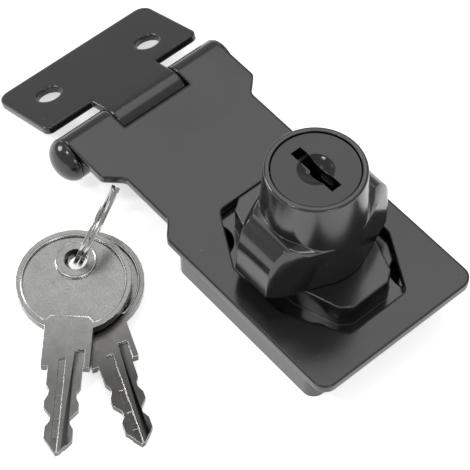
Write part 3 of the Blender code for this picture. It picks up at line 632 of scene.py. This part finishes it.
@dataclass
class KnobBody:
    """The die-cast knob: a turned barrel and spindle, with two wings across it."""

    workshop: Workshop
    node: str = "knob_body"
    steps: int = 144
    sharp_angle: float = radians(40)
    rim_radius: float = 0.01048
    rim_edge: float = 0.0005
    rim_steps: int = 6
    taper: float = 0.0545
    barrel_low: float = 0.0167
    head_radius: float = 0.0093
    head_depth: float = 0.0029
    bore_radius: float = 0.0068
    bore_low: float = 0.0208
    tail_radius: float = 0.0028
    tail_low: float = 0.0107
    spindle_radius: float = 0.0067
    groove_radius: float = 0.0055
    groove_low: float = 0.0059
    groove_high: float = 0.0085
    wing_angle: float = radians(22)
    wing_drop: float = 0.0109
    wing_end: float = 0.0169
    wing_end_half: float = 0.0047
    wing_root: float = 0.0095
    wing_root_half: float = 0.0061
    wing_draft: float = tan(radians(4.5))
    wing_sink: float = 0.00005
    wing_edge: float = 0.00030
    wing_edge_steps: int = 3
    wing_arc_steps: int = 24
    crease_angle: float = radians(9.5)
    core_radius: float = 0.0088
    ridge_round: Pair = (0.0046, 0.0070)
    face_drop: float = 0.0131
    face_end: float = 0.0143
    face_round: Pair = (0.0055, 0.0060)
    bolt_half: float = 0.0023
    bolt_low: float = 0.0110
    bolt_high: float = 0.0146
    bolt_tail: float = 0.0051
    pin_radius: float = 0.0013
    pin_x: float = -0.0066
    pin_drop: float = 0.0053
    pin_end: float = -0.0050
    pin_steps: int = 32
    pin_reach: float = 1.2
    wafer_near: float = 0.0058
    wafer_far: float = 0.0081
    wafer_half: float = 0.0029
    wafer_bottom: float = 0.0220
    wafer_drop: float = 0.0073
    low: float = field(init=False)
    top: float = field(init=False)
    tangent: float = field(init=False)

    def __post_init__(self) -> None:
        """Take the knob's ends from the frame, and find where the wings touch the barrel."""
        low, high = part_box(self.node)
        self.low, self.top = low.z, high.z
        self.tangent = self.rim_radius * sin(self.wing_angle)

    def radius(self, z: float) -> float:
        """Give the tapered barrel's radius.

        Args:
            z: The height.

        Returns:
            The radius at that height.
        """
        return self.rim_radius + self.taper * (self.top - z)

    def barrel(self) -> Object:
        """Turn the barrel with its bore and spindle.

        Returns:
            The turned object.
        """
        seat = self.top - self.head_depth
        profile = [(0, self.tail_low), (self.tail_radius, self.tail_low),
                   (self.tail_radius, self.bore_low), (self.bore_radius, self.bore_low),
                   (self.bore_radius, seat), (self.head_radius, seat),
                   (self.head_radius, self.top)]
        profile += arc((self.rim_radius - self.rim_edge, self.top - self.rim_edge),
                       (self.rim_edge, self.rim_edge), pi / 2, 0, self.rim_steps)
        profile += [(self.radius(self.barrel_low), self.barrel_low),
                    (self.spindle_radius, self.barrel_low),
                    (self.spindle_radius, self.groove_high), (self.groove_radius, self.groove_high),
                    (self.groove_radius, self.groove_low), (self.spindle_radius, self.groove_low),
                    (self.spindle_radius, self.low), (0, self.low)]
        return self.workshop.lathe("knob_barrel", profile, self.steps)

    def wing_profiles(self) -> tuple[list[Pair], list[Pair]]:
        """Give a wing's two outlines seen from its flank, with points (y, z) that pair up.

        Returns:
            The outline of the ridge, and that of the flat face on each flank.
        """
        ridge_top, face_top = self.top - self.wing_drop, self.top - self.face_drop
        root = self.bore_radius / 2
        ridge_centre = (self.wing_end - self.ridge_round[0], ridge_top - self.ridge_round[1])
        face_centre = (self.face_end - self.face_round[0], face_top - self.face_round[1])
        bend = (pi / 2, 0, self.wing_arc_steps)
        ridge = [(root, ridge_top), *arc(ridge_centre, self.ridge_round, *bend),
                 (self.wing_end, self.barrel_low), (root, self.barrel_low)]
        face = [(self.tangent, face_top), *arc(face_centre, self.face_round, *bend),
                (self.face_end, self.barrel_low), (self.tangent, self.barrel_low)]
        return ridge, face

    def wing(self, side: int) -> Object:
        """Make one wing, ruled from the face on one flank over the ridge to the other face.

        Args:
            side: 1 for the wing towards +Y, and -1 for the other.

        Returns:
            The wing with its rounded edges, not yet hollow.
        """
        ridge, face = self.wing_profiles()
        slope = (self.wing_root_half - self.wing_end_half) / (self.wing_end - self.wing_root)
        sine, cosine = sin(self.wing_angle), cos(self.wing_angle)
        shape = bmesh.new()
        rows = []
        for sign in (-1, 1):
            crest = []
            for y, z in ridge:
                half = self.wing_root_half - slope * (y - self.wing_root)
                inward = self.wing_draft * (z - self.barrel_low) if y > self.wing_root else 0.0
                crest.append(shape.verts.new((sign * half, side * (y - inward), z)))
            flank = []
            for y, z in face:
                x = (self.radius(z) - self.wing_sink - y * sine) / cosine
                flank.append(shape.verts.new((sign * x, side * y, z)))
            rows += [flank, crest] if sign < 0 else [crest, flank]
        self.workshop.skin(shape, rows)
        self.mark_creases(shape)
        piece = self.workshop.new_piece("knob_wing", shape)
        rounding = piece.modifiers.new("Rounded edges", "BEVEL")
        rounding.width = self.wing_edge
        rounding.segments = self.wing_edge_steps
        rounding.limit_method = "WEIGHT"
        rounding.use_clamp_overlap = False
        return self.workshop.plain(piece)

    def mark_creases(self, shape: BMesh) -> None:
        """Weight the wing's creases that stand outside the barrel, for their rounding.

        Args:
            shape: The wing's shape.
        """
        weight = shape.edges.layers.float.new("bevel_weight_edge")
        side, base = self.tangent + self.wing_edge, self.barrel_low + self.wing_edge
        for edge in shape.edges:
            outside = all(abs(vertex.co.y) > side for vertex in edge.verts)
            above = any(vertex.co.z > base for vertex in edge.verts)
            if outside and above and edge.calc_face_angle(0) > self.crease_angle:
                edge[weight] = 1.0

    def inner_tools(self) -> list[Object]:
        """Make the cutters for the wafers' grooves and the pin that holds the plug.

        Returns:
            The cutters.
        """
        shop = self.workshop
        high, half = self.top - self.wafer_drop, self.wafer_half
        tools = []
        for sign in (-1, 1):
            near, far = sorted((sign * self.wafer_near, sign * self.wafer_far))
            tools.append(shop.bar("groove_x", (near, -half, self.wafer_bottom), (far, half, high)))
            tools.append(shop.bar("groove_y", (-half, near, self.wafer_bottom), (half, far, high)))
        reach = self.rim_radius * self.pin_reach
        profile = [(0, reach), (self.pin_radius, reach), (self.pin_radius, self.pin_end),
                   (0, self.pin_end)]
        pin = shop.lathe("pin_hole", profile, self.pin_steps)
        pin.data.transform(Matrix.Translation((self.pin_x, 0, self.top - self.pin_drop))
                           @ Matrix.Rotation(-pi / 2, 4, "X"))
        return [*tools, pin]

    def build(self) -> None:
        """Build the knob as one piece."""
        shop = self.workshop
        knob = self.barrel()
        slot = shop.bar("bolt_slot", (-self.bolt_tail, -self.bolt_half, self.bolt_low),
                        (self.spindle_radius * 2, self.bolt_half, self.bolt_high))
        for tool in (slot, *self.inner_tools()):
            shop.cut(knob, tool)
        shop.shade(knob, self.sharp_angle)
        core_profile = [(0, self.top), (self.core_radius, self.top), (self.core_radius, self.low),
                        (0, self.low)]
        for side in (1, -1):
            wing = self.wing(side)
            shop.cut(wing, shop.lathe("wing_core", core_profile, self.steps))
            shop.shade(wing, self.sharp_angle)
            shop.join(knob, wing)
        knob.name = "knob_body_dressed"
        shop.hand_over(knob, self.node)


@dataclass
class PlugFace:
    """The plug, with a low dome on its head, a round dimple and a deeper keyway."""

    workshop: Workshop
    node: str = "lock_plug"
    dimple_radius: float = 0.0037
    dimple_depth: float = 0.0011
    rim_radius: float = 0.0090
    rim_drop: float = 0.00012
    rim_round: float = 0.00025
    spare: float = 0.0010
    keyway_half_length: float = 0.0061
    keyway_half_width: float = 0.00125
    keyway_depth: float = 0.0050
    sharp_angle: float = radians(25)
    steps: int = 144
    rings: int = 12

    def dome_profile(self, top: float) -> list[Pair]:
        """Give the outline of the cutter that leaves the dome and the dimple.

        Args:
            top: The plug's top.

        Returns:
            Points of (radius, z), from the dimple's middle outwards and back above the plug.
        """
        sphere = (self.dimple_radius ** 2 + self.dimple_depth ** 2) / (2 * self.dimple_depth)
        spread = asin(self.dimple_radius / sphere)
        turns = [spread * i / self.rings for i in range(self.rings + 1)]
        profile = [(sphere * sin(turn), top - self.dimple_depth + sphere * (1 - cos(turn)))
                   for turn in turns]
        for i in range(1, self.rings + 1):
            share = i / self.rings
            profile.append((self.dimple_radius + share * (self.rim_radius - self.dimple_radius),
                            top - self.rim_drop * share ** 2))
        outer = self.rim_radius + self.rim_round
        past = outer + self.spare
        return profile + [(outer, top - self.rim_drop - self.rim_round),
                          (past, top - self.rim_drop), (past, top + self.spare),
                          (0, top + self.spare)]

    def build(self) -> None:
        """Cut the dome, the dimple and the keyway into a copy of the plug."""
        shop = self.workshop
        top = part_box(self.node)[1].z
        plug = shop.smooth_copy(self.node)
        shop.cut(plug, shop.lathe("plug_dome", self.dome_profile(top), self.steps))
        length, width = self.keyway_half_length, self.keyway_half_width
        shop.cut(plug, shop.bar("keyway", (-length, -width, top - self.keyway_depth),
                                (length, width, top + self.spare)))
        shop.shade(plug, self.sharp_angle)
        shop.hand_over(plug, self.node)


@dataclass
class KeywayWards:
    """Two thin ribs in the plug's keyway, which give it the key's stepped section."""

    workshop: Workshop
    plug: str = "lock_plug"
    middle: float = 0.0021
    half_length: float = 0.0017
    wall: float = PlugFace.keyway_half_width
    depth: float = 0.0005
    sinks: Pair = (0.0008, 0.0024)
    foot: float = 0.0045
    run_in: float = 0.25
    steps: int = 16

    def outline(self) -> list[Pair]:
        """Give the outline from above of the rib towards +X and +Y.

        Returns:
            Points of (x, y), which swell out of the keyway's wall.
        """
        points = []
        for i in range(self.steps + 1):
            along = 2 * i / self.steps - 1
            swell = self.depth * min(1.0, (1 - abs(along)) / self.run_in)
            points.append((self.middle + along * self.half_length, self.wall - swell))
        back = self.wall + self.depth
        return points + [(self.middle + self.half_length, back),
                         (self.middle - self.half_length, back)]

    def build(self) -> None:
        """Build both ribs and let them ride on the plug."""
        shop = self.workshop
        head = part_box(self.plug)[1].z
        for name, side, sink in zip(("ward_near", "ward_far"), (-1, 1), self.sinks):
            outline = [(side * x, side * y) for x, y in self.outline()]
            shape = bmesh.new()
            shop.skin(shape, [[shape.verts.new((x, y, head - depth)) for x, y in outline]
                              for depth in (self.foot, sink)])
            piece = shop.new_piece(name, shape)
            shop.shade(piece, SMOOTH_ANGLE)
            shop.hand_over(piece, self.plug, stands_in=False)


@dataclass
class SplitRing:
    """The key ring: a flat wire wound in two turns, side by side."""

    workshop: Workshop
    node: str = "key_ring"
    radius: float = 0.0094
    wire_radial: float = 0.0012
    wire_width: float = 0.00086
    pitch: float = 0.00108
    heading: float = radians(118.7)
    lean: float = radians(16.7)
    jog: float = radians(34)
    start: float = radians(60)
    points: int = 361
    corner: float = 0.00022
    corner_steps: int = 3
    sharp_angle: float = radians(50)
    centre: Vector = field(init=False)

    def __post_init__(self) -> None:
        """Find the middle of the frame's ring."""
        low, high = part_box(self.node)
        self.centre = (low + high) / 2

    def build_tree(self) -> NodeTree:
        """Build the tree that winds the wire.

        Returns:
            A Geometry Nodes group with named inputs for the ring's sizes.
        """
        tree = bpy.data.node_groups.new("wound_ring", "GeometryNodeTree")
        nodes = Nodes(tree)
        given = nodes.begin_geometry("Points", "Radius", "Wire Radial", "Wire Width", "Pitch",
                                     "Jog", "Start", "Corner")
        line = nodes.add("GeometryNodeMeshLine", {"Count": given["Points"]},
                         mode="OFFSET").outputs[0]
        wire = nodes.add("GeometryNodeMeshToCurve", {"Mesh": line}).outputs[0]
        last = nodes.math("SUBTRACT", given["Points"], 1.0)
        share = nodes.math("DIVIDE", nodes.add("GeometryNodeInputIndex").outputs[0], last)
        swept = nodes.math("SUBTRACT", 4 * pi, nodes.math("MULTIPLY", given["Jog"], 2.0))
        angle = nodes.math("ADD", nodes.math("MULTIPLY", share, swept), given["Jog"])
        place = nodes.math("ADD", angle, given["Start"])
        half = nodes.math("DIVIDE", given["Wire Radial"], 2.0)
        middle = nodes.math("SUBTRACT", given["Radius"], half)
        across = nodes.math("DIVIDE", nodes.math("SUBTRACT", angle, 2 * pi), given["Jog"])
        level = nodes.ramp(across, -1.0, 1.0, -0.5, 0.5, interpolation_type="SMOOTHSTEP")
        spot = nodes.add("ShaderNodeCombineXYZ", {
            "X": nodes.math("MULTIPLY", nodes.math("COSINE", place), middle),
            "Y": nodes.math("MULTIPLY", nodes.math("SINE", place), middle),
            "Z": nodes.math("MULTIPLY", level, given["Pitch"])}).outputs[0]
        wound = nodes.add("GeometryNodeSetPosition", {"Geometry": wire,
                                                      "Position": spot}).outputs[0]
        turned = nodes.add("GeometryNodeSetCurveNormal", {"Curve": wound}, mode="Z_UP").outputs[0]
        section = nodes.add("GeometryNodeCurvePrimitiveQuadrilateral", {
            "Width": given["Wire Radial"], "Height": given["Wire Width"]}).outputs[0]
        rounded = nodes.add("GeometryNodeFilletCurve", {
            "Curve": section, "Count": self.corner_steps, "Radius": given["Corner"]},
            mode="POLY").outputs[0]
        swept_wire = nodes.add("GeometryNodeCurveToMesh", {
            "Curve": turned, "Profile Curve": rounded, "Fill Caps": True}).outputs[0]
        nodes.end_geometry(swept_wire, given["Material"])
        return tree

    def directions(self) -> tuple[Vector, Vector, Vector]:
        """Give the ring's own directions, from its heading and its lean.

        Returns:
            The directions along the floor, up the ring, and along its axis.
        """
        along = Vector((cos(self.heading), sin(self.heading), 0))
        side = Vector((along.y, -along.x, 0))
        up = side * sin(self.lean) + Vector((0, 0, cos(self.lean)))
        return along, up, along.cross(up).normalized()

    def wire_at(self, height: float) -> Vector:
        """Give the place where the wire passes a height, on the side of the keys.

        Args:
            height: The height above the floor.

        Returns:
            The middle of the wire there.
        """
        along, up, _ = self.directions()
        radius = self.radius - self.wire_radial / 2
        sine = (height - self.centre.z) / (radius * up.z)
        return self.centre + (up * sine - along * sqrt(1 - sine ** 2)) * radius

    def build(self) -> None:
        """Wind the ring and put it in the place of the frame's ring."""
        shop = self.workshop
        piece = shop.add_object("split_ring", bpy.data.meshes.new("split_ring"))
        shop.run_nodes(piece, self.build_tree(), {
            "Radius": self.radius, "Wire Radial": self.wire_radial, "Wire Width": self.wire_width,
            "Pitch": self.pitch, "Jog": self.jog, "Start": self.start, "Corner": self.corner,
            "Points": self.points, "Material": shop.finishes.own[self.node]})
        turn = Matrix(self.directions()).transposed().to_4x4()
        piece.data.transform(Matrix.Translation(self.centre) @ turn)
        piece.data.set_sharp_from_angle(angle=self.sharp_angle)
        shop.hand_over(piece, self.node)


@dataclass
class KeyBeads:
    """The raised lines on a key's bow: round the ring's hole, and along its hollow's edge."""

    workshop: Workshop
    bow_middle: float = 0.0050
    hollow_radius: float = 0.0109
    shank_reach: float = 0.0084
    shank_half: float = 0.0040
    shoulder_half: float = 0.0050
    hole_rim: float = 0.0042
    face: float = 0.0011
    bead: float = 0.00020
    sink: float = 0.00008
    sides: int = 10
    steps: int = 96
    tree: NodeTree = field(init=False)

    def __post_init__(self) -> None:
        """Build the tree that both keys use."""
        self.tree = self.build_tree()

    def loops(self) -> list[list[Pair]]:
        """Give the two closed lines in the key's own plane, from the hole's middle.

        Returns:
            The line round the hole, and the hollow's outline.
        """
        bound = asin(self.shoulder_half / self.hollow_radius)
        hole = arc((0, 0), (self.hole_rim, self.hole_rim), 0, 2 * pi, self.steps)[:-1]
        hollow = arc((self.bow_middle, 0), (self.hollow_radius, self.hollow_radius), bound,
                     2 * pi - bound, self.steps)
        top = self.bow_middle + self.shank_reach
        return [hole, hollow + [(top, -self.shank_half), (top, self.shank_half)]]

    def build_tree(self) -> NodeTree:
        """Build the tree that sweeps a round bead along every line of a mesh.

        Returns:
            A Geometry Nodes group with named inputs for the bead.
        """
        tree = bpy.data.node_groups.new("bead_along_lines", "GeometryNodeTree")
        nodes = Nodes(tree)
        given = nodes.begin_geometry("Sides", "Bead Radius")
        line = nodes.add("GeometryNodeMeshToCurve", {"Mesh": given["Geometry"]}).outputs[0]
        section = nodes.add("GeometryNodeCurvePrimitiveCircle", {
            "Resolution": given["Sides"], "Radius": given["Bead Radius"]}).outputs[0]
        swept = nodes.add("GeometryNodeCurveToMesh", {"Curve": line,
                                                      "Profile Curve": section}).outputs[0]
        nodes.end_geometry(swept, given["Material"])
        return tree

    def build(self, name: str, place: Matrix, finish: Material) -> Object:
        """Make the beads of one key.

        Args:
            name: The object's name.
            place: From the key's own plane to the frame.
            finish: The bead's material.

        Returns:
            The beads as a plain mesh, in their place.
        """
        shape = bmesh.new()
        for loop in self.loops():
            points = [shape.verts.new((x, y, self.face - self.sink)) for x, y in loop]
            for point, following in zip(points, points[1:] + points[:1]):
                shape.edges.new((point, following))
        beads = self.workshop.new_piece(name, shape)
        self.workshop.run_nodes(beads, self.tree, {
            "Bead Radius": self.bead, "Sides": self.sides, "Material": finish})
        shape = bmesh.new()
        shape.from_mesh(beads.data)
        bmesh.ops.recalc_face_normals(shape, faces=shape.faces)
        shape.to_mesh(beads.data)
        shape.free()
        beads.data.transform(place)
        return beads


@dataclass(frozen=True)
class KeyPlace:
    """Where a key hangs on the ring, and the tones of its bow and of its blade, darker towards the
    tip.
    """

    node: str
    height: float
    heading: float
    play: Point
    bow: Colour
    blade: Colour


@dataclass
class KeySet:
    """The two keys and the ring that they hang on."""

    workshop: Workshop
    sharp_angle: float = radians(18)
    drop: float = radians(4.42)
    places: tuple[KeyPlace, ...] = (
        KeyPlace("key_rear", height=0.0046, heading=radians(-21.5), play=(0.0003, 0.00025, 0),
                 bow=(0.20, 0.198, 0.192), blade=(0.06, 0.059, 0.057)),
        KeyPlace("key_front", height=0.0074, heading=radians(-43.5),
                 play=(-0.0004, -0.00035, 0), bow=(0.24, 0.238, 0.232),
                 blade=(0.12, 0.119, 0.115)))

    def tip(self, node: str, middle: Vector) -> Point:
        """Find a key's tip.

        Args:
            node: The key's node.
            middle: The middle of the ring, from which the tip is the farthest point.

        Returns:
            The tip.
        """
        points = [vertex.co for vertex in frame["nodes"][node].data.vertices]
        return tuple(max(points, key=lambda point: (point - middle).length))

    def build(self) -> None:
        """Build the keys, whose blades grow darker towards the tip, and their ring."""
        shop = self.workshop
        ring, beads = SplitRing(shop), KeyBeads(shop)
        for hung in self.places:
            node = hung.node
            shop.finishes.add_own(node, replace(
                shop.finishes.nickel, name=node + "_nickel", colour=hung.bow,
                fade_colour=hung.blade, fade_centre=self.tip(node, ring.centre)))
            key = shop.smooth_copy(node, self.sharp_angle)
            key.data.materials.clear()
            key.data.materials.append(shop.finishes.own[node])
            spot = ring.wire_at(hung.height) + Vector(hung.play)
            place = (Matrix.Translation(spot) @ Matrix.Rotation(hung.heading, 4, "Z")
                     @ Matrix.Rotation(self.drop, 4, "Y"))
            shop.join(key, beads.build(node + "_beads", place, shop.finishes.own["bead"]))
            shop.hand_over(key, node)
        ring.build()


@dataclass(frozen=True)
class Lamp:
    """A square soft light that faces the lock: its direction, distance, side and watts."""

    name: str
    azimuth: float
    elevation: float
    distance: float
    size: float
    power: float


@dataclass
class Studio:
    """The floor, the lights and the camera."""

    azimuth: float = 49.37
    elevation: float = 55.38
    target: Point = (-0.0177, -0.0058, 0.0039)
    distance: float = 0.4393
    lens: float = 157.3
    sensor: float = 36.0
    clip_start: float = 0.01
    floor_size: float = 6.0
    floor_level: float = -0.00002
    floor_colour: Colour = (0.90, 0.90, 0.90)
    floor_roughness: float = 0.9
    floor_specular: float = 0.1
    floor_glow: float = 0.60
    world_strength: float = 0.55
    lamps: tuple[Lamp, ...] = (
        Lamp("top_light", azimuth=229, elevation=62, distance=0.9, size=0.55, power=1.25),
        Lamp("side_light", azimuth=-55, elevation=30, distance=1.0, size=0.35, power=3.6),
        Lamp("front_light", azimuth=78, elevation=32, distance=0.9, size=0.30, power=1.4),
        Lamp("spot_light", azimuth=-8, elevation=61, distance=1.0, size=0.18, power=1.4))

    def hang(self, data: bpy.types.ID, azimuth: float, elevation: float, distance: float,
             target: Point = (0.0, 0.0, 0.0)) -> Object:
        """Place a camera or a light so that it looks at a target.

        Args:
            data: The camera or light, whose name the object takes.
            azimuth: Degrees round from the front, towards +X.
            elevation: Degrees above the floor.
            distance: How far away it is.
            target: What it looks at.

        Returns:
            The placed object.
        """
        turn, rise = radians(azimuth), radians(elevation)
        level = cos(rise)
        back = Vector((sin(turn) * level, -cos(turn) * level, sin(rise)))
        item = bpy.data.objects.new(data.name, data)
        item.location = Vector(target) + back * distance
        item.rotation_euler = back.to_track_quat("Z", "Y").to_euler()
        bpy.context.scene.collection.objects.link(item)
        return item

    def build_camera(self) -> None:
        """Place the camera at the photograph's angle."""
        data = bpy.data.cameras.new("camera")
        data.lens = self.lens
        data.sensor_width = self.sensor
        data.clip_start = self.clip_start
        bpy.context.scene.camera = self.hang(data, self.azimuth, self.elevation, self.distance,
                                             self.target)

    def build_floor(self) -> None:
        """Lay a pale floor just under the lock."""
        bpy.ops.mesh.primitive_plane_add(size=self.floor_size, location=(0, 0, self.floor_level))
        floor = bpy.context.object
        floor.name = "floor"
        material = bpy.data.materials.new("pale_floor")
        material.use_nodes = True
        shader = material.node_tree.nodes["Principled BSDF"]
        shader.inputs["Base Color"].default_value = (*self.floor_colour, 1)
        shader.inputs["Roughness"].default_value = self.floor_roughness
        shader.inputs["Specular IOR Level"].default_value = self.floor_specular
        shader.inputs["Emission Color"].default_value = (1, 1, 1, 1)
        shader.inputs["Emission Strength"].default_value = self.floor_glow
        floor.data.materials.append(material)

    def build_lamps(self) -> None:
        """Hang the soft lights."""
        for lamp in self.lamps:
            data = bpy.data.lights.new(lamp.name, "AREA")
            data.shape = "SQUARE"
            data.size = lamp.size
            data.energy = lamp.power
            self.hang(data, lamp.azimuth, lamp.elevation, lamp.distance)

    def build_world(self) -> None:
        """Light the whole scene evenly from a white world."""
        world = bpy.data.worlds.new("studio")
        world.use_nodes = True
        backdrop = world.node_tree.nodes["Background"]
        backdrop.inputs["Color"].default_value = (1, 1, 1, 1)
        backdrop.inputs["Strength"].default_value = self.world_strength
        bpy.context.scene.world = world
        bpy.context.scene.view_settings.view_transform = "Standard"

    def build(self) -> None:
        """Build the camera, the floor, the world and the lights."""
        self.build_camera()
        self.build_floor()
        self.build_world()
        self.build_lamps()


def main() -> None:
    """Build the scene, one sub-assembly after another."""
    logging.basicConfig(level=logging.INFO, format="%(message)s")
    Studio().build()
    finishes = Finishes()
    finishes.build()
    workshop = Workshop(finishes)
    for assembly in (SheetAndBase, KnobBody, PlugFace, KeywayWards, KeySet):
        assembly(workshop).build()
    workshop.finish_rest()


if __name__ == "__main__":
    main()
